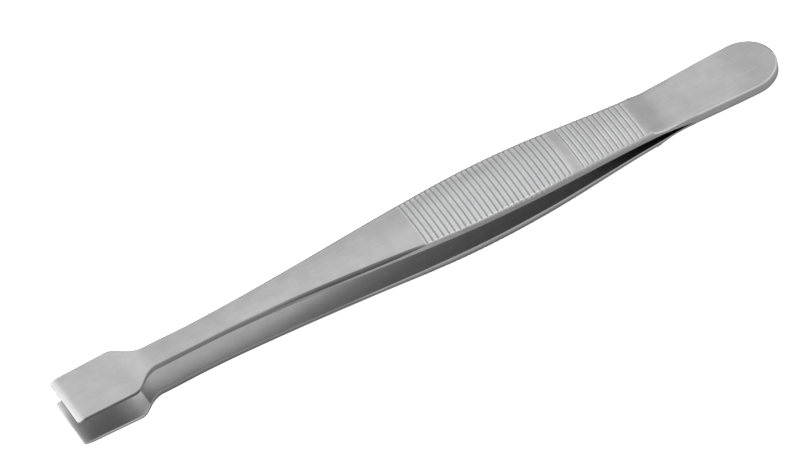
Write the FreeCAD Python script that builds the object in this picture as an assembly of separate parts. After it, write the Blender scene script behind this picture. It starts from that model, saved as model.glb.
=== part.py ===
import FreeCAD, Part
import math
import os

from FreeCAD import Vector

# Square-tip thumb forceps: two sprung steel arms, welded and ground flush at the heel.
# All sizes are in millimetres. The model is drawn with the tips at x = 0 and the heel at
# x = overall_length, with z = 0 on the plane between the arms. It is moved to its frame at the end.
# Only the upper arm is drawn, and the lower arm is its mirror image.

# Lengths along the tool
overall_length = 145.0
spade_length = 12.0
shoulder_length = 5.3
neck_length = 8.2
heel_length = 19.6

# Distances forward from the front of the weld, where the two arms part
waist_to_weld = 6.4
grip_to_weld = 35.9
widest_to_weld = 31.6
grip_front_to_weld = 47.6
front_grooves_to_weld = 54.3
rear_grooves_to_weld = 22.35
runout_to_weld = 8.2
upper_runout_length = 3.4
lower_runout_length = 7.0

# Plan, as full widths
tip_width = 12.0
spade_width = 12.4
neck_width = 5.5
grip_front_width = 13.3
grip_width = 13.7
waist_width = 11.3
butt_width = 12.5
corner_radius = 0.5

# The middle of the shank and its widest gap, as shares of the way from the neck to the grip
mid_shank_share = 0.539
widest_gap_share = 0.289

# How much of the shoulder's narrowing is done, by share of the shoulder's length
shoulder_curve = [(0, 0), (0.13, 0.09), (0.35, 0.41), (0.55, 0.69), (0.8, 0.92), (1, 1)]

# Half of the gap between the arms, which opens from the weld and closes a little at the tips
tip_half_gap = 2.58
spade_half_gap = 2.75
neck_half_gap = 2.62
shank_half_gap = 2.72
grip_half_gap = 1.88
waist_half_gap = 0.66

# Thickness of one arm at the edge of its outer face
tip_thickness = 0.3
spade_thickness = 0.62
neck_thickness = 1.15
shank_thickness = 1.05
swell_thickness = 1.2
grip_thickness = 1.5
waist_thickness = 1.2
tip_bevel_length = 1.5

# The heel is ground deeper on its underside, so the weld lies below its middle
heel_top = 1.33
heel_bottom = 0.66

# Outer face: it is crowned across the arm, and its edges are rounded
crown_radius = 34.0
crown_share_at_spade = 0.02
crown_share_at_weld = 0.3
neck_edge_radius = 0.15
shank_edge_radius = 0.6
grip_edge_radius = 0.6
waist_edge_radius = 0.95
heel_edge_radius = 0.3
edge_facets = 3
heel_chamfer = 0.22
grinding_allowance = 0.1

# The crown's highest line is worn flat by this much, and the tool lies on that flat
rest_flat_depth = 0.07

# Cross grooves of the grip, in two groups with a plain band between them
groove_width = 0.42
groove_depth = 0.26
groove_sweep_share = 0.6
front_groove_count = 28
front_groove_pitch = 1.08
rear_groove_count = 13
rear_groove_pitch = 1.0585

# Sections that each stretch of an arm is drawn through
shoulder_spans = 8
neck_spans = 2
shank_spans = 14
heel_spans = 4
height_samples = 200

# Places along the tool that follow from the sizes above
shoulder_end = spade_length + shoulder_length
neck_end = shoulder_end + neck_length
weld_front = overall_length - heel_length
waist_at = weld_front - waist_to_weld
grip_at = weld_front - grip_to_weld
widest_at = weld_front - widest_to_weld
grip_front_at = weld_front - grip_front_to_weld
runout_start = weld_front - runout_to_weld
mid_shank_at = neck_end + mid_shank_share * (grip_at - neck_end)
widest_gap_at = neck_end + widest_gap_share * (grip_at - neck_end)
butt_centre = overall_length - butt_width / 2


def curve_value(stations, x):
    """Height of a smooth curve through the stations, which are (x, height) pairs."""
    last = len(stations) - 1
    slopes = []
    for i in range(last + 1):
        before = stations[max(i - 1, 0)]
        after = stations[min(i + 1, last)]
        slopes.append((after[1] - before[1]) / (after[0] - before[0]))
    slopes[0] = 0.0
    slopes[last] = 0.0
    for i in range(last):
        x0, y0 = stations[i]
        x1, y1 = stations[i + 1]
        if x <= x1 or i == last - 1:
            span = x1 - x0
            t = min(max((x - x0) / span, 0.0), 1.0)
            rise = t * t * (3 - 2 * t)
            start = t * (1 - t) * (1 - t)
            end = t * t * (1 - t)
            return y0 + (y1 - y0) * rise + span * (slopes[i] * start - slopes[i + 1] * end)


def shoulder_drop(x):
    """How far the shoulder has come in from the spade to the neck, from 0 to 1."""
    t = (x - spade_length) / shoulder_length
    return curve_value(shoulder_curve, t)


def half_width(x):
    """Half of the tool's width, which the two arms and the heel share."""
    if x <= spade_length:
        return (tip_width + (spade_width - tip_width) * x / spade_length) / 2
    if x <= shoulder_end:
        return (spade_width + (neck_width - spade_width) * shoulder_drop(x)) / 2
    stations = [
        (neck_end, neck_width),
        (grip_front_at, grip_front_width),
        (widest_at, grip_width),
        (waist_at, waist_width),
        (butt_centre, butt_width),
    ]
    return curve_value(stations, x) / 2


def inner_height(x):
    """Height of the arm's inner face above the middle plane."""
    if x <= spade_length:
        return tip_half_gap + (spade_half_gap - tip_half_gap) * x / spade_length
    stations = [
        (spade_length, spade_half_gap),
        (shoulder_end, neck_half_gap),
        (widest_gap_at, shank_half_gap),
        (grip_at, grip_half_gap),
        (waist_at, waist_half_gap),
        (weld_front, 0.0),
    ]
    if x > waist_at:
        return waist_half_gap * (weld_front - x) / (weld_front - waist_at)
    return curve_value(stations, x)


def edge_thickness(x):
    """Thickness of the arm where its outer face meets the rounded edge."""
    stations = [
        (spade_length, spade_thickness),
        (shoulder_end, neck_thickness),
        (neck_end, shank_thickness),
        (mid_shank_at, swell_thickness),
        (grip_at, grip_thickness),
        (waist_at, waist_thickness),
        (weld_front, heel_top + grinding_allowance),
    ]
    return curve_value(stations, x)


def edge_radius(x):
    """Size of the rounding between the outer face and the walls."""
    stations = [
        (shoulder_end, neck_edge_radius),
        (mid_shank_at, shank_edge_radius),
        (grip_at, grip_edge_radius),
        (waist_at, waist_edge_radius),
        (weld_front, heel_edge_radius),
    ]
    return curve_value(stations, x)


def crown_height(x, edge):
    """Rise of the crowned face over its edges, which fades out at the spade and the heel."""
    half = half_width(x) - edge
    rise = crown_radius - math.sqrt(crown_radius ** 2 - half ** 2)
    shares = [
        (spade_length, crown_share_at_spade),
        (neck_end, 1.0),
        (waist_at, 1.0),
        (weld_front, crown_share_at_weld),
    ]
    return rise * curve_value(shares, x)


def top_height(x):
    """Height of the outer face above the middle plane, along the middle of the arm."""
    edge = edge_radius(x)
    return inner_height(x) + edge_thickness(x) + crown_height(x, edge)


def arm_section(x, thickness, edge, crown):
    """Closed outline across the arm: inner face, two walls, two rounded edges, outer face."""
    half = half_width(x)
    inner = inner_height(x)
    top = inner + thickness
    turns = [math.pi / 2 * i / edge_facets for i in range(edge_facets + 1)]
    rim = [(half - edge + edge * math.cos(t), top - edge + edge * math.sin(t)) for t in turns]
    side = [Vector(x, half, inner)] + [Vector(x, y, z) for y, z in rim]
    near = [Vector(x, -p.y, p.z) for p in reversed(side)]
    face = Part.Arc(side[-1], Vector(x, 0, top + crown), near[0])
    edges = polyline(side) + [face.toShape()] + polyline(near)
    edges.append(Part.LineSegment(near[-1], side[0]).toShape())
    return Part.Wire(edges)


def polyline(points):
    """Straight edges from each point to the next."""
    return [Part.LineSegment(a, b).toShape() for a, b in zip(points, points[1:])]


def spade():
    """The thin square tip, bevelled on its outer face at the very end."""
    edge = neck_edge_radius
    crown = crown_height(spade_length, edge)
    bevel = tip_bevel_length
    end = arm_section(0.0, tip_thickness, edge, crown)
    top = arm_section(bevel, spade_thickness, edge, crown)
    root = arm_section(spade_length, spade_thickness, edge, crown)
    nose = Part.makeLoft([end, top], True, True)
    plate = Part.makeLoft([top, root], True, True)
    return nose.fuse(plate)


def spaced(start, end, spans):
    """Places at the end of each of the equal spans from start to end."""
    return [start + (end - start) * i / spans for i in range(1, spans + 1)]


def shank():
    """The arm from the spade to the weld, through sections spaced more closely at the shoulder."""
    places = [spade_length]
    places += spaced(spade_length, shoulder_end, shoulder_spans)
    places += spaced(shoulder_end, neck_end, neck_spans)
    places += spaced(neck_end, waist_at, shank_spans)
    places += [(waist_at + weld_front) / 2, weld_front]
    sections = []
    for x in places:
        edge = edge_radius(x)
        sections.append(arm_section(x, edge_thickness(x), edge, crown_height(x, edge)))
    return Part.makeLoft(sections, True, False)


def heel_relief(flat, runout_length):
    """Tool that grinds one flat of the heel, with a hollow run-out towards the grip."""
    depth = top_height(runout_start) - flat
    radius = (runout_length ** 2 + depth ** 2) / (2 * depth)
    flat_start = runout_start + runout_length
    axle = Vector(flat_start, -grip_width, flat + radius)
    wheel = Part.makeCylinder(radius, 2 * grip_width, axle, Vector(0, 1, 0))
    corner = Vector(flat_start, -grip_width, flat)
    slab = Part.makeBox(overall_length, 2 * grip_width, 2 * radius, corner)
    return wheel.fuse(slab)


def outer_height():
    """Height of the worn flat of the outer face, which is the highest part of an arm."""
    crown = max(top_height(x) for x in spaced(neck_end, waist_at, height_samples))
    return crown - rest_flat_depth


def rest_flat():
    """Tool that wears the crown flat."""
    corner = Vector(0, -grip_width, outer_height())
    return Part.makeBox(overall_length, 2 * grip_width, crown_radius, corner)


def groove_cutter(x):
    """V-shaped ring that follows the crown and cuts one groove, groove_width wide at the face."""
    top = top_height(x)
    axis_height = top - crown_radius
    left = Vector(x - groove_width, 0, top + groove_depth)
    right = Vector(x + groove_width, 0, top + groove_depth)
    bottom = Vector(x, 0, top - groove_depth)
    profile = Part.makePolygon([left, bottom, right, left])
    sweep = 2 * math.degrees(math.asin(groove_sweep_share * grip_width / crown_radius))
    face = Part.Face(profile)
    face.rotate(Vector(x, 0, axis_height), Vector(1, 0, 0), -sweep / 2)
    return face.revolve(Vector(x, 0, axis_height), Vector(1, 0, 0), sweep)


def grooves():
    """Cutters of the two groups, with a plain band between them."""
    front_start = weld_front - front_grooves_to_weld
    rear_start = weld_front - rear_grooves_to_weld
    front = [front_start + front_groove_pitch * i for i in range(front_groove_count)]
    rear = [rear_start + rear_groove_pitch * i for i in range(rear_groove_count)]
    return [groove_cutter(x) for x in front + rear]


def tip_corner(side):
    """Tool that rounds one corner of the square tip; side is 1 or -1."""
    radius = corner_radius
    half = tip_width / 2
    tall = 2 * spade_half_gap + 2 * spade_thickness
    inset = side * (half - 2 * radius) - radius
    corner = Part.makeBox(2 * radius, 2 * radius, tall, Vector(-radius, side * half - radius, 0))
    inside = Part.makeBox(2 * radius, 2 * radius, tall, Vector(-radius, inset, 0))
    post = Part.makeCylinder(radius, tall, Vector(radius, side * (half - radius), 0))
    return corner.cut(post).cut(inside)


def arm(flat, runout_length):
    """One arm, drawn above the middle plane, with its outer face ground down to flat at the heel."""
    body = shank().fuse(spade()).removeSplitter()
    body = body.cut([tip_corner(1), tip_corner(-1), heel_relief(flat, runout_length), rest_flat()])
    return body.cut(grooves())


def heel():
    """The two butt ends, welded and ground to one block with a round end."""
    low = -heel_bottom
    places = [weld_front] + spaced(weld_front, butt_centre, heel_spans)
    sides = []
    for side in (1, -1):
        wall = Part.BSplineCurve()
        wall.interpolate([Vector(x, side * half_width(x), low) for x in places])
        sides.append(wall.toShape())
    front = half_width(weld_front)
    butt = butt_width / 2
    far_side = Vector(butt_centre, butt, low)
    near_side = Vector(butt_centre, -butt, low)
    round_end = Part.Arc(far_side, Vector(overall_length, 0, low), near_side)
    weld_line = Part.LineSegment(Vector(weld_front, -front, low), Vector(weld_front, front, low))
    outline = Part.Wire(Part.__sortEdges__(sides + [round_end.toShape(), weld_line.toShape()]))
    block = Part.Face(outline).extrude(Vector(0, 0, heel_bottom + heel_top))
    return block.makeChamfer(heel_chamfer, [e for e in block.Edges if is_heel_rim(e)])


def is_heel_rim(edge):
    """Whether the edge runs along the top or the bottom of the heel, and isn't the weld line."""
    box = edge.BoundBox
    return box.ZLength < heel_chamfer / 10 and box.XLength > heel_chamfer


def to_frame(shape):
    """Move the shape so that the origin is the middle of the part's box, at its lowest point."""
    placed = shape.copy()
    placed.translate(Vector(-overall_length / 2, 0, outer_height()))
    return placed


upper = arm(heel_top, upper_runout_length)
lower = arm(heel_bottom, lower_runout_length).mirror(Vector(0, 0, 0), Vector(0, 0, 1))
pieces = {"heel": heel(), "upper_arm": upper, "lower_arm": lower}

os.makedirs("parts", exist_ok=True)
for name, shape in pieces.items():
    placed = to_frame(shape)
    placed.exportStep("parts/" + name + ".step")
    print(name, "solids", len(placed.Solids), "valid", placed.isValid())
    print("  volume in cubic millimetres", round(placed.Volume, 2))
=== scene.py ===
# %% [markdown]
# # Square-tip thumb forceps in brushed steel
#
# The tool is taken to be two steel arms, welded together at the round heel and polished
# lengthwise. This script skins each arm together with its half of the heel, so that no joint
# line shows between them. The construction model is loaded first, and the visible halves are
# placed in its frame.

# %% Load the construction model
import math

import bmesh
import bpy
from mathutils import Matrix, Vector


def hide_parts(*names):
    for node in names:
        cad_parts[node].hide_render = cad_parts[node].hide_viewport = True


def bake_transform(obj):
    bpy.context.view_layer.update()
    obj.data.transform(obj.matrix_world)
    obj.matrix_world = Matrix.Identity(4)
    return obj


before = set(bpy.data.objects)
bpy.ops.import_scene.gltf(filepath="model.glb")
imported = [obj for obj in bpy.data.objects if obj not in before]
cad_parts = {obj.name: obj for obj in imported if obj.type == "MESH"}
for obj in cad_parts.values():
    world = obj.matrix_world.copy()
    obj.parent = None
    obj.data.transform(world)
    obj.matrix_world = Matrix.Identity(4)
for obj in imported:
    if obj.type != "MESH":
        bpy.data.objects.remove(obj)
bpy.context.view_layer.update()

# %% [markdown]
# ## Sizes
#
# The sizes are in millimetres from the tips and from the plane between the two arms. They
# are those of the construction model, apart from the radii of the edges that the camera sees
# and the start of the run-outs, which lies 0.7 mm nearer to the tips here. Keeping them as
# names lets one outline serve both halves.

# %% Lengths and widths
MM = 0.001
overall_length = 145.0
spade_length = 12.0
shoulder_end = 17.3
neck_end = 25.5
weld_front = 125.4
waist_at = 119.0
grip_at = 89.5
mid_shank_at = 59.996
grip_front_at = 77.8
widest_at = 93.8
widest_gap_at = 43.996
runout_start = 116.5
tip_width = 12.0
spade_back_width = 12.4
neck_width = 5.5
tip_gap = 2.58
spade_gap = 2.75
waist_gap = 0.66
tip_thickness = 0.3
spade_thickness = 0.62
bevel_length = 1.5
upper_flat = 1.33
lower_flat = 0.66
upper_runout = 4.1
lower_runout = 7.7
butt_radius = 6.25
butt_centre = overall_length - butt_radius
corner_radius = 0.5
nose_radius = 0.1
butt_steps = 18
middle_height = 4.1629
shoulder_curve = [(0, 0), (0.13, 0.09), (0.35, 0.41), (0.55, 0.69), (0.8, 0.92), (1, 1)]
plan = [
    (neck_end, neck_width), (grip_front_at, 13.3), (widest_at, 13.7), (waist_at, 11.3),
    (butt_centre, 12.5),
]
gaps = [
    (spade_length, spade_gap), (shoulder_end, 2.62), (widest_gap_at, 2.72),
    (grip_at, 1.88), (waist_at, waist_gap), (weld_front, 0.0),
]
thicknesses = [
    (spade_length, spade_thickness), (shoulder_end, 1.15), (neck_end, 1.05), (mid_shank_at, 1.2),
    (grip_at, 1.5), (waist_at, 1.2), (weld_front, 1.43),
]
edge_radii = [
    (shoulder_end, 0.15), (mid_shank_at, 0.6), (grip_at, 0.6), (waist_at, 0.95), (weld_front, 0.3),
]
far_radii = [
    (shoulder_end, 0.2), (mid_shank_at, 0.7), (74.0, 0.95), (grip_at, 0.95), (waist_at, 0.95),
    (weld_front, 0.3),
]
near_radii = [
    (shoulder_end, 0.15), (mid_shank_at, 0.6), (74.0, 0.25), (grip_at, 0.45), (waist_at, 0.8),
    (weld_front, 0.3),
]
crown_shares = [(spade_length, 0.02), (neck_end, 1.0), (waist_at, 1.0), (weld_front, 0.3)]
crown_radius = 34.0
print("tool", overall_length, "mm long, grip", plan[2][1], "mm wide")


# %% Smooth curves through the stations
def curve(stations, x):
    """Smooth value at x through (x, value) stations."""
    last = len(stations) - 1
    slopes = [0.0] * (last + 1)
    for i in range(1, last):
        before, after = stations[i - 1], stations[i + 1]
        slopes[i] = (after[1] - before[1]) / (after[0] - before[0])
    for i in range(last):
        (x0, v0), (x1, v1) = stations[i], stations[i + 1]
        if x <= x1 or i == last - 1:
            span = x1 - x0
            t = min(max((x - x0) / span, 0.0), 1.0)
            rise = t * t * (3 - 2 * t)
            bow = slopes[i] * t * (1 - t) ** 2 - slopes[i + 1] * t * t * (1 - t)
            return v0 + (v1 - v0) * rise + span * bow


def between(stations, x):
    """Straight-line value at x through (x, value) stations."""
    if x <= stations[0][0]:
        return stations[0][1]
    for (x0, v0), (x1, v1) in zip(stations, stations[1:]):
        if x <= x1:
            return v0 + (v1 - v0) * (x - x0) / (x1 - x0)
    return stations[-1][1]


def mean(shape, x, step, count):
    """Mean of shape over count steps to each side of x, which rounds a corner there."""
    return sum(shape(x + step * i) for i in range(-count, count + 1)) / (2 * count + 1)


corner_reach = 1.5
corner_step = 0.2
bevel_roll_at = 1.4
bevel_roll_reach = 0.6
bevel_roll_step = 0.15


def drawn_half_width(x):
    if x <= spade_length:
        return (tip_width + (spade_back_width - tip_width) * x / spade_length) / 2
    if x <= shoulder_end:
        t = (x - spade_length) / (shoulder_end - spade_length)
        return (spade_back_width - (spade_back_width - neck_width) * curve(shoulder_curve, t)) / 2
    return curve(plan, x) / 2


def half_width(x):
    """Half width, with the spade's outer corners rounded as by a file."""
    if abs(x - spade_length) > corner_reach:
        return drawn_half_width(x)
    return mean(drawn_half_width, x, corner_step, 4)


def inner_height(x):
    if x <= spade_length:
        return tip_gap + (spade_gap - tip_gap) * x / spade_length
    if x > waist_at:
        return waist_gap * max(weld_front - x, 0.0) / (weld_front - waist_at)
    return curve(gaps, x)


def drawn_thickness(x):
    if x < bevel_length:
        return tip_thickness + (spade_thickness - tip_thickness) * x / bevel_length
    return curve(thicknesses, x)


def thickness(x):
    """Thickness of one arm, with the end of the tip bevel rubbed soft."""
    if abs(x - bevel_roll_at) > bevel_roll_reach:
        return drawn_thickness(x)
    return mean(drawn_thickness, x, bevel_roll_step, 3)


for x in (0, 12, 25, 60, 89.5, 119, 125.4):
    print("at", x, "width", round(2 * half_width(x), 2), "gap", round(2 * inner_height(x), 2))

# %% [markdown]
# ## The grip's grooves
#
# The grooves are pressed across the crowned face. Each one keeps its depth below the face
# and fades out before the wall, sooner on the near side towards the heel. There are two groups
# with a plain band between them. The depth is taken off the height of the outer face.

# %% Groove heights
groove_half = 0.25
front_depth = 0.24
rear_depth = 0.16
far_fade = 0.6
near_fades = [(84.0, 0.1), (100.0, 1.1)]
front_grooves = [71.1 + 1.08 * i for i in range(28)]
rear_grooves = [103.05 + 1.0585 * i for i in range(13)]
groove_places = front_grooves + rear_grooves


def crown_rise(x):
    half = half_width(x) - curve(edge_radii, x)
    rise = crown_radius - math.sqrt(crown_radius ** 2 - half ** 2)
    return rise * curve(crown_shares, x)


def crest(x):
    return inner_height(x) + thickness(x) + crown_rise(x)


def groove_cut(x, inset, side):
    """Depth of the groove at x, which shallows out towards the walls, sooner on the near side."""
    nearest = min(abs(place - x) for place in groove_places)
    share = max(1 - nearest / groove_half, 0.0)
    depth = front_depth if x < rear_grooves[0] - groove_half else rear_depth
    fade = far_fade if side > 0 else between(near_fades, x)
    return depth * share * min(inset / fade, 1.0)


print(len(groove_places), "grooves from", groove_places[0], "to", round(groove_places[-1], 1))

# %% [markdown]
# ## Painted highlights and shade on the steel
#
# The photograph shows brighter lands and bevels and darker edges, grooves and inner faces.
# Part of that is likely the finish, and part the surroundings that the steel mirrored, which
# the plain tent here doesn't give. The two can't be told apart in one picture. So for each
# part of the section, a table says how bright it is against plain steel at places along the
# tool, and the material multiplies its colour by this. The values are not measured finishes:
# they were set by comparing the render's brightness with the photograph's, for the
# light used below.
# The tables paint light into the colour: a painted highlight on the tip bevel, the heel's edges and the
# run-out corner, painted reflections on the near walls, and painted shade on the near edges, round the
# butt and on the lower arm's inner face under the upper arm.

# %% Painted light and shade along the tool
# Painted highlight on the tip bevel, easing off where it meets the flat face.
bevel_painted_highlight = [(0.0, 1.28), (0.7, 1.1), (1.3, 0.92), (2.0, 1.0)]
# Near side wall: painted shade at the spade and neck, and a painted reflection that brightens it along the
# shank.
wall_painted_light = [
    (0.5, 1.0), (1.4, 0.45), (12.2, 0.45), (13.5, 0.8), (38.0, 0.66), (50.0, 1.15),
    (60.0, 1.45), (70.0, 1.45),
    (79.0, 1.05), (118.0, 1.05), (126.0, 1.15),
]
# Upper half: a painted highlight on the heel's near edge and the run-out corner, painted shade on the near
# edge along the spade, neck and shank and round the far edge of the butt, and a painted darker hollow at
# the run-out.
upper_painted_light = {
    "face": bevel_painted_highlight + [
        (13.0, 1.0), (18.0, 0.94), (31.0, 0.94), (36.0, 1.0), (116.8, 1.0), (119.8, 0.85),
        (122.6, 1.0),
        (134.0, 1.03), (139.0, 0.9), (145.0, 0.92),
    ],
    "far_edge": bevel_painted_highlight + [
        (12.0, 0.95), (16.0, 0.85), (117.0, 0.85), (137.0, 0.8), (140.0, 0.2), (144.3, 0.2),
        (145.0, 0.7),
    ],
    "near_edge": [
        (0.0, 1.25), (0.8, 0.95), (1.6, 0.4), (12.2, 0.4), (13.5, 0.8), (38.0, 0.72),
        (44.0, 0.5), (50.0, 0.34), (66.0, 0.34),
        (70.0, 0.5), (71.0, 1.3), (92.0, 1.3), (99.0, 1.05), (125.0, 1.05), (126.0, 1.35),
        (141.0, 1.25),
        (143.5, 1.45), (145.0, 1.2),
    ],
    "near_rim": wall_painted_light,
    "near_wall": wall_painted_light,
    "near_corner": [(116.0, 1.9), (121.5, 1.9), (124.0, 1.3)],
}
# Lower half: a painted highlight along the tip, in a strip at the shoulder and along the near rim, and
# painted shade on the inner face under the upper arm, darkest in the slit by the heel.
lower_painted_light = {
    "inner": [
        (0.0, 1.7), (0.35, 1.5), (0.8, 1.1), (2.2, 0.78), (8.0, 0.72), (10.8, 1.15),
        (13.2, 2.0), (13.9, 1.9),
        (14.2, 0.62), (15.2, 0.7), (16.5, 0.82), (43.0, 0.82), (51.0, 0.85), (104.0, 0.85),
        (113.0, 0.4),
        (120.0, 0.2), (126.0, 0.2),
    ],
    "near_rim": [
        (0.5, 1.5), (11.0, 1.8), (12.5, 1.1), (15.0, 0.85), (54.0, 0.85), (60.0, 1.4),
        (118.0, 1.4), (122.0, 1.0),
    ],
    "near_wall": [(116.0, 0.4), (121.0, 0.9)],
}
# Where the lands' polish and painted light stop on the near edge, and how strong they are in the rear
# group.
near_land_light_end = 95.0
rear_strength = 0.75
# Across each groove: brighter lands, partly polish and partly painted highlight, a painted highlight on
# the flank towards the heel and painted shade in the valley.
land_polish_and_shade = [
    (-0.5, 1.22), (-0.3, 1.15), (-0.17, 0.98), (-0.07, 0.79), (0.1, 0.74), (0.25, 1.02),
    (0.42, 1.33), (0.6, 1.29),
]


def finish_and_painted_light(tones, part, x):
    """Painted light and shade of one part of the section at x, with the lands' polish and the grooves'
    painted highlight and shade on top.
    """
    value = between(tones[part], x) if part in tones else 1.0
    offset = min((x - place for place in groove_places), key=abs)
    # The lands' polish and painted light show on the outer face, the far edge and the front of the near
    # edge.
    lands_polished_and_shaded = part in ("face", "far_edge") or (part == "near_edge" and x < near_land_light_end)
    if lands_polished_and_shaded and land_polish_and_shade[0][0] < offset < land_polish_and_shade[-1][0]:
        strength = 1.0 if x < rear_grooves[0] - groove_half else rear_strength
        value *= 1 + strength * (between(land_polish_and_shade, offset - 0.04) - 1)
    return value


print("tone of the tip bevel", round(finish_and_painted_light(upper_painted_light, "face", 0.5), 2))

# %% [markdown]
# ## A section across one half
#
# Each section is a closed ring: the inner face, a small broken edge, the side wall, the
# rounded edge and the crowned outer face. At the heel the outer face is ground down to a flat
# by a wheel, which leaves a hollow run-out, so the rounding stops at the flat in a soft corner.
# The rounding is measured inwards from the outline along its own direction, so that it
# stays even round the butt end.

# %% Ring of one section
arc_steps = 6
face_steps = 12
outer_height = middle_height
broken_edge = 0.12
spade_edge = 0.12
tip_end = 2.0
tip_broken_edge = 0.06
seam_fade = 3.0
least_edge = 0.003
groove_foot = 0.3
ground_corners = [(120.5, 0.36), (122.5, 0.2)]
near_heel_edge = 0.27
far_heel_edges = [(143.6, 0.12), (144.9, 0.27)]
blend_heights = [(119.0, 0.5), (122.0, 0.01)]


def ground_limit(x, flat, runout):
    """Height of the flat and its run-out, ground by a round wheel."""
    depth = crest(runout_start) - flat
    radius = (runout ** 2 + depth ** 2) / (2 * depth)
    back = runout_start + runout - x
    if back <= 0:
        return flat
    if back >= radius:
        return 2 * outer_height
    return flat + radius - math.sqrt(radius ** 2 - back ** 2)


def side_chain(x, flat, runout, nose, radii, heel_edge):
    """(inset, height, part) rows up one side, from the inner face to the outer face."""
    inner = inner_height(x) + nose
    top = inner_height(x) + thickness(x) - nose
    radius = curve(radii, x) if x > spade_length else spade_edge
    cap = ground_limit(x, flat, runout)
    if x > weld_front:
        top, radius, cap = flat, heel_edge, flat
    ground_corner = between(ground_corners, x)
    broken = broken_edge if x > tip_end else tip_broken_edge
    if x > weld_front - seam_fade:
        broken = max(broken_edge * (weld_front - x) / seam_fade, least_edge)
    start = top - radius
    turn = math.pi / 2
    if cap < top:
        start = min(start, cap - ground_corner)
        turn = math.asin(min(max((cap - ground_corner - (top - radius)) / radius, 0.0), 1.0))
    chain = [(broken + 0.2, inner, "inner"), (broken, inner, "inner")]
    chain += [(0.3 * broken, inner + 0.3 * broken, "rim"), (0.0, inner + broken, "rim")]
    chain.append((0.0, start - 0.06, "wall"))
    for i in range(arc_steps + 1):
        angle = turn * i / arc_steps
        chain.append((radius * (1 - math.cos(angle)), start + radius * math.sin(angle), "edge"))
    inset, height, part = chain[-1]
    if cap < top:
        chain.append((inset + 0.3 * ground_corner, cap - 0.25 * ground_corner, "corner"))
        chain.append((inset + ground_corner, cap, "face"))
    else:
        chain.append((inset + 0.03, height, "edge"))
        chain.append((inset + 0.08, height, "face"))
    return chain


def soft_min(a, b, blend):
    """The lower of two heights, blended where they are closer than blend."""
    near = max(1 - abs(a - b) / blend, 0.0)
    return min(a, b) - blend / 4 * near ** 2


def ring(x, half, inward, flat, runout, tones, nose=0.0):
    """Closed ring of (x, y, height, tone); inward is the outline's inward way on the far side."""
    edge_top = inner_height(x) + thickness(x) - nose
    rise = crown_rise(x)
    cap = ground_limit(x, flat, runout)
    if x > weld_front:
        edge_top, rise = flat, 0.0

    def point(inset, height, part, side):
        y = side * (half + inward[1] * inset)
        if part in ("edge", "corner", "wall", "rim"):
            part = ("far_" if side > 0 else "near_") + part
        if height > inner_height(x) + groove_foot:
            height -= groove_cut(x, inset, side)
        return (x + inward[0] * inset, y, height, finish_and_painted_light(tones, part, x))

    far_rows = side_chain(x, flat, runout, nose, far_radii, between(far_heel_edges, x))
    near_rows = side_chain(x, flat, runout, nose, near_radii, near_heel_edge)
    far = [point(*row, 1) for row in far_rows]
    near = [point(*row, -1) for row in reversed(near_rows)]
    face = []
    for i in range(1, face_steps):
        share = i / face_steps
        px = far[-1][0] + (near[0][0] - far[-1][0]) * share
        y = far[-1][1] + (near[0][1] - far[-1][1]) * share
        height = edge_top + rise * (1 - (2 * share - 1) ** 2)
        height = soft_min(min(height, outer_height), cap, between(blend_heights, x))
        height -= groove_cut(x, half - abs(y), y)
        face.append((px, y, height, finish_and_painted_light(tones, "face", px)))
    return far + face + near


sample = ring(grip_at, half_width(grip_at), (0, -1), upper_flat, upper_runout, upper_painted_light)
print("one ring has", len(sample), "points")

# %% [markdown]
# ## Where the sections go
#
# Sections stand close together only where the shape turns quickly: at the tip's rounded
# corners, over each groove, in the run-out and round the butt.


# %% Stations along the tool
def spread(start, end, step):
    count = max(1, round((end - start) / step))
    return [start + (end - start) * i / count for i in range(1, count + 1)]


def along_the_arm():
    places = [0.0, 0.012, 0.045, 0.1, 0.17, 0.26, 0.37, 0.5, 0.75, 1.0, 1.15, 1.3, 1.45, 1.6, 1.8, 2.0]
    places += spread(2.0, spade_length - 1.6, 1.3)
    places += spread(spade_length - 1.6, shoulder_end, 0.2)
    places += spread(shoulder_end, neck_end, 0.9)
    places += spread(neck_end, groove_places[0] - 0.8, 1.4)
    for place in groove_places:
        places += [place + d for d in (-0.42, -0.3, -0.25, -0.17, -0.08, 0.0, 0.08, 0.17, 0.25, 0.3, 0.42)]
    places += spread(front_grooves[-1] + 0.6, rear_grooves[0] - 0.6, 0.5)
    places += spread(rear_grooves[-1] + 0.5, weld_front, 0.16)
    places += spread(weld_front, butt_centre, 0.9)
    return sorted(places)


def rings_of_half(flat, runout, tones):
    rings = []
    for x in along_the_arm():
        half, nose = half_width(x), 0.0
        if x < corner_radius:
            half -= corner_radius - math.sqrt(corner_radius ** 2 - (corner_radius - x) ** 2)
        if x < nose_radius:
            nose = nose_radius - math.sqrt(nose_radius ** 2 - (nose_radius - x) ** 2)
        rings.append(ring(x, half, (0, -1), flat, runout, tones, nose))
    for i in range(1, butt_steps + 1):
        turn = math.pi / 2 * min(i / butt_steps, 0.9995)
        x = butt_centre + butt_radius * math.sin(turn)
        inward = (-math.sin(turn), -math.cos(turn))
        rings.append(ring(x, butt_radius * math.cos(turn), inward, flat, runout, tones))
    return rings


print(len(along_the_arm()), "sections along the arm")

# %% [markdown]
# ## Skinning a half
#
# The first ring is drawn at the tip, and each next ring is extruded from it and put in
# its place. This keeps the same points in line along the whole tool, so that highlights run
# straight. The two ends are then closed and the normals made to face outwards.


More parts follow.
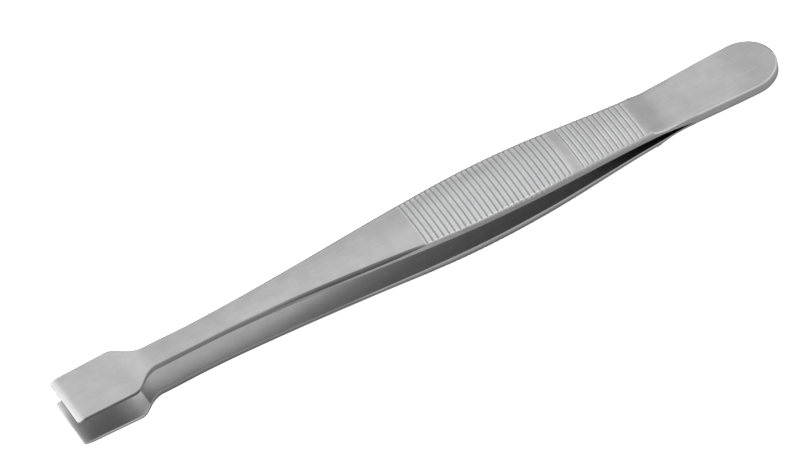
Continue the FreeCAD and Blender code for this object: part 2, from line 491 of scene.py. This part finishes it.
# %% Skin through the rings
def skin(name, rings, side):
    shape = bmesh.new()
    # Each point carries its painted light and shade, which the material multiplies into the colour.
    tones = shape.verts.layers.float.new("finish_and_painted_light")
    ends = [shape.verts.new(p[:3]) for p in rings[0]]
    for v, p in zip(ends, rings[0]):
        v[tones] = p[3]
    edges = [shape.edges.new(pair) for pair in zip(ends, ends[1:] + ends[:1])]
    first = list(edges)
    for points in rings[1:]:
        grown = bmesh.ops.extrude_edge_only(shape, edges=edges)["geom"]
        fresh = {v for v in grown if isinstance(v, bmesh.types.BMVert)}
        edges = [e for e in grown if isinstance(e, bmesh.types.BMEdge) and set(e.verts) <= fresh]
        places = dict(zip(ends, points))
        partner = {}
        for v in fresh:
            for e in v.link_edges:
                old = e.other_vert(v)
                if old in places:
                    partner[old] = v
                    v.co = places[old][:3]
                    v[tones] = places[old][3]
        ends = [partner[old] for old in ends]
    bmesh.ops.contextual_create(shape, geom=first)
    bmesh.ops.contextual_create(shape, geom=edges)
    bmesh.ops.remove_doubles(shape, verts=shape.verts, dist=0.002)
    scale = Matrix.Diagonal((MM, MM, side * MM, 1))
    move = Matrix.Translation((-overall_length / 2 * MM, 0, middle_height * MM))
    bmesh.ops.transform(shape, matrix=move @ scale, verts=shape.verts)
    bmesh.ops.recalc_face_normals(shape, faces=shape.faces)
    mesh = bpy.data.meshes.new(name)
    shape.to_mesh(mesh)
    shape.free()
    mesh.polygons.foreach_set("use_smooth", [True] * len(mesh.polygons))
    piece = bpy.data.objects.new(name, mesh)
    bpy.context.scene.collection.objects.link(piece)
    return piece


upper_half = skin("upper_half", rings_of_half(upper_flat, upper_runout, upper_painted_light), 1)
lower_half = skin("lower_half", rings_of_half(lower_flat, lower_runout, lower_painted_light), -1)
for piece in (upper_half, lower_half):
    print(piece.name, len(piece.data.vertices), "points", len(piece.data.polygons), "faces")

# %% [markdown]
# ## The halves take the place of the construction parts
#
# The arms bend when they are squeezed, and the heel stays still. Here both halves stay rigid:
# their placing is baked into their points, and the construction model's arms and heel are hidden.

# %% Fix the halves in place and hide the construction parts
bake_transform(upper_half)
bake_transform(lower_half)
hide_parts("upper_arm", "heel")
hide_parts("lower_arm")

# %% [markdown]
# ## Brushed steel
#
# The steel looks polished lengthwise, with hair-thin streaks along the tool, a satin gloss
# and faint cloudy patches. The streaks are noise stretched along
# the length, and they shift the colour, the roughness and the height a little.


# %% Grain shared by the finishes
def grain_group():
    group = bpy.data.node_groups.new("belt_grain", "ShaderNodeTree")
    face = group.interface
    face.new_socket("Stretch", in_out="INPUT", socket_type="NodeSocketVector")
    face.new_socket("Streaks", in_out="OUTPUT", socket_type="NodeSocketFloat")
    face.new_socket("Clouds", in_out="OUTPUT", socket_type="NodeSocketFloat")
    nodes, links = group.nodes, group.links
    inputs = nodes.new("NodeGroupInput")
    outputs = nodes.new("NodeGroupOutput")
    place = nodes.new("ShaderNodeTexCoord")
    stretched = nodes.new("ShaderNodeVectorMath")
    stretched.operation = "MULTIPLY"
    links.new(place.outputs["Object"], stretched.inputs[0])
    links.new(inputs.outputs["Stretch"], stretched.inputs[1])
    streaks = nodes.new("ShaderNodeTexNoise")
    streaks.inputs["Scale"].default_value = 1.0
    streaks.inputs["Detail"].default_value = 3.0
    links.new(stretched.outputs[0], streaks.inputs["Vector"])
    clouds = nodes.new("ShaderNodeTexNoise")
    clouds.inputs["Scale"].default_value = 330.0
    clouds.inputs["Detail"].default_value = 6.0
    clouds.inputs["Roughness"].default_value = 0.62
    links.new(place.outputs["Object"], clouds.inputs["Vector"])
    links.new(streaks.outputs["Fac"], outputs.inputs["Streaks"])
    links.new(clouds.outputs["Fac"], outputs.inputs["Clouds"])
    return group


belt_grain = grain_group()
print("grain group", belt_grain.name)


# %% Steel material
def ranged(tree, value, low, high, to_low, to_high):
    node = tree.nodes.new("ShaderNodeMapRange")
    tree.links.new(value, node.inputs["Value"])
    node.inputs["From Min"].default_value = low
    node.inputs["From Max"].default_value = high
    node.inputs["To Min"].default_value = to_low
    node.inputs["To Max"].default_value = to_high
    return node.outputs["Result"]


def steel(name, with_painted_light):
    """Brushed steel; when its flag is set, the colour is scaled by the painted light and shade stored at
    each point of the skin.
    """
    material = bpy.data.materials.new(name)
    material.use_nodes = True
    tree = material.node_tree
    shader = tree.nodes["Principled BSDF"]
    shader.inputs["Metallic"].default_value = 1.0
    grain = tree.nodes.new("ShaderNodeGroup")
    grain.node_tree = belt_grain
    grain.inputs["Stretch"].default_value = (180.0, 5200.0, 5200.0)
    streaks, clouds = grain.outputs["Streaks"], grain.outputs["Clouds"]
    tint = tree.nodes.new("ShaderNodeMix")
    tint.data_type = "RGBA"
    tint.inputs["A"].default_value = (0.50, 0.50, 0.505, 1)
    tint.inputs["B"].default_value = (0.64, 0.64, 0.645, 1)
    mixed = tree.nodes.new("ShaderNodeMath")
    mixed.operation = "ADD"
    tree.links.new(ranged(tree, streaks, 0.3, 0.7, 0.0, 0.5), mixed.inputs[0])
    tree.links.new(ranged(tree, clouds, 0.3, 0.7, 0.0, 0.5), mixed.inputs[1])
    tree.links.new(mixed.outputs[0], tint.inputs["Factor"])
    colour = tint.outputs["Result"]
    if with_painted_light:
        # Painted light and shade: the colour is scaled by the value stored at each point.
        painted_light_values = tree.nodes.new("ShaderNodeAttribute")
        painted_light_values.attribute_name = "finish_and_painted_light"
        shaded = tree.nodes.new("ShaderNodeVectorMath")
        shaded.operation = "SCALE"
        tree.links.new(colour, shaded.inputs[0])
        tree.links.new(painted_light_values.outputs["Fac"], shaded.inputs["Scale"])
        colour = shaded.outputs[0]
    tree.links.new(colour, shader.inputs["Base Color"])
    tree.links.new(ranged(tree, streaks, 0.3, 0.7, 0.36, 0.46), shader.inputs["Roughness"])
    bump = tree.nodes.new("ShaderNodeBump")
    bump.inputs["Strength"].default_value = 0.12
    bump.inputs["Distance"].default_value = 0.00002
    tree.links.new(streaks, bump.inputs["Height"])
    tree.links.new(bump.outputs["Normal"], shader.inputs["Normal"])
    return material


# The halves' steel carries the painted highlights and shade; the hidden construction parts get plain
# steel.
skin_steel = steel("polished_steel_painted_light", True)
for piece in (upper_half, lower_half):
    piece.data.materials.append(skin_steel)
plain_steel = steel("plain_steel", False)
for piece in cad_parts.values():
    piece.data.materials.clear()
    piece.data.materials.append(plain_steel)
print("steel made of", len(skin_steel.node_tree.nodes), "nodes")

# %% [markdown]
# ## Where the camera looks from
#
# The photograph looks down at about 45 degrees from the near side, a little from the
# tips. The studio is set round that direction, because steel mirrors the dark room behind the
# camera in every edge that faces it.

# %% Direction of the camera
azimuth, elevation, roll = -16.86, 45.35, 14.69
a, e = math.radians(azimuth), math.radians(elevation)
view_back = Vector((math.sin(a) * math.cos(e), -math.cos(a) * math.cos(e), math.sin(e)))
print("camera direction", [round(v, 3) for v in view_back])

# %% [markdown]
# ## The studio
#
# The tool lies on a white light table under a pale tent. Polished steel shows what is
# round it, so the tent is brighter overhead and dimmer towards the ground, and the table is
# kept out of the reflections so that the side walls stay darker than the top faces.


# %% Light table and tent
def floor():
    table = bmesh.new()
    bmesh.ops.create_grid(table, x_segments=1, y_segments=1, size=3.0)
    mesh = bpy.data.meshes.new("light_table")
    table.to_mesh(mesh)
    table.free()
    piece = bpy.data.objects.new("light_table", mesh)
    bpy.context.scene.collection.objects.link(piece)
    material = bpy.data.materials.new("white_table")
    material.use_nodes = True
    shader = material.node_tree.nodes["Principled BSDF"]
    shader.inputs["Base Color"].default_value = (0.9, 0.9, 0.9, 1)
    shader.inputs["Roughness"].default_value = 0.9
    shader.inputs["Emission Color"].default_value = (1, 1, 1, 1)
    shader.inputs["Emission Strength"].default_value = 1.0
    piece.data.materials.append(material)
    piece.visible_glossy = False
    return piece


def tent():
    world = bpy.data.worlds.new("tent")
    bpy.context.scene.world = world
    world.use_nodes = True
    tree = world.node_tree
    tree.nodes.clear()
    out = tree.nodes.new("ShaderNodeOutputWorld")
    sky = tree.nodes.new("ShaderNodeBackground")
    backdrop = tree.nodes.new("ShaderNodeBackground")
    backdrop.inputs["Color"].default_value = (0.95, 0.95, 0.95, 1)
    place = tree.nodes.new("ShaderNodeTexCoord")
    split = tree.nodes.new("ShaderNodeSeparateXYZ")
    tree.links.new(place.outputs["Generated"], split.inputs[0])
    ramp = tree.nodes.new("ShaderNodeValToRGB")
    tree.links.new(ranged(tree, split.outputs["Z"], -1.0, 1.0, 0.0, 1.0), ramp.inputs["Fac"])
    stops = [(0.0, 0.4), (0.3, 0.42), (0.5, 0.45), (0.7, 0.6), (0.85, 0.8), (1.0, 1.0)]
    ramp.color_ramp.elements[0].position = 0.0
    ramp.color_ramp.elements[1].position = 1.0
    for position, level in stops[1:-1]:
        ramp.color_ramp.elements.new(position)
    for element, (position, level) in zip(ramp.color_ramp.elements, stops):
        element.position = position
        element.color = (level, level, level, 1)
    facing = tree.nodes.new("ShaderNodeVectorMath")
    facing.operation = "DOT_PRODUCT"
    facing.inputs[1].default_value = view_back
    tree.links.new(place.outputs["Generated"], facing.inputs[0])
    tree.links.new(ramp.outputs["Color"], sky.inputs["Color"])
    tree.links.new(ranged(tree, facing.outputs["Value"], 0.55, 0.9, 1.0, 0.7), sky.inputs["Strength"])
    rays = tree.nodes.new("ShaderNodeLightPath")
    mix = tree.nodes.new("ShaderNodeMixShader")
    tree.links.new(rays.outputs["Is Camera Ray"], mix.inputs[0])
    tree.links.new(sky.outputs[0], mix.inputs[1])
    tree.links.new(backdrop.outputs[0], mix.inputs[2])
    tree.links.new(mix.outputs[0], out.inputs["Surface"])


floor()
tent()
print("table and tent ready")


# %% Soft boxes
def soft_box(name, place, size, power):
    light = bpy.data.lights.new(name, "AREA")
    light.shape = "RECTANGLE"
    light.size, light.size_y = size
    light.energy = power
    lamp = bpy.data.objects.new(name, light)
    lamp.location = place
    lamp.rotation_euler = (-Vector(place)).to_track_quat("-Z", "Y").to_euler()
    bpy.context.scene.collection.objects.link(lamp)
    return lamp


soft_box("left_box", (-0.75, 0.62, 0.75), (1.15, 1.15), 4.25)

# %% [markdown]
# ## The camera
#
# The photograph was taken with a long lens from the near side, looking down at about
# 45 degrees, and the tool lies turned in the picture. The camera is placed by the directions
# of the tool's three axes in the picture.

# %% Camera at the photograph's angle
distance = 1.8
picture_size = (800, 466)
picture_scale = 5.588
middle_in_picture = (423.4, 233.5)
back = view_back
r = math.radians(roll)
right = (-back).cross(Vector((0, 0, 1))).normalized()
above = right.cross(-back)
picture_right = math.cos(r) * right - math.sin(r) * above
picture_up = math.sin(r) * right + math.cos(r) * above
middle = Vector((0, 0, middle_height * MM))
aside = (middle_in_picture[0] - picture_size[0] / 2) / picture_scale * MM
below = (middle_in_picture[1] - picture_size[1] / 2) / picture_scale * MM
aim = middle - aside * picture_right + below * picture_up
lens = bpy.data.cameras.new("long_lens")
lens.sensor_width = 36.0
lens.lens = lens.sensor_width * distance / (picture_size[0] / picture_scale * MM)
lens.clip_start, lens.clip_end = 0.1, 20.0
camera = bpy.data.objects.new("camera", lens)
turned = Matrix((picture_right, picture_up, back)).transposed().to_4x4()
camera.matrix_world = Matrix.Translation(aim + back * distance) @ turned
bpy.context.scene.collection.objects.link(camera)
bpy.context.scene.camera = camera
bpy.context.scene.view_settings.view_transform = "Standard"
print("lens", round(lens.lens, 1), "mm at", distance, "m")
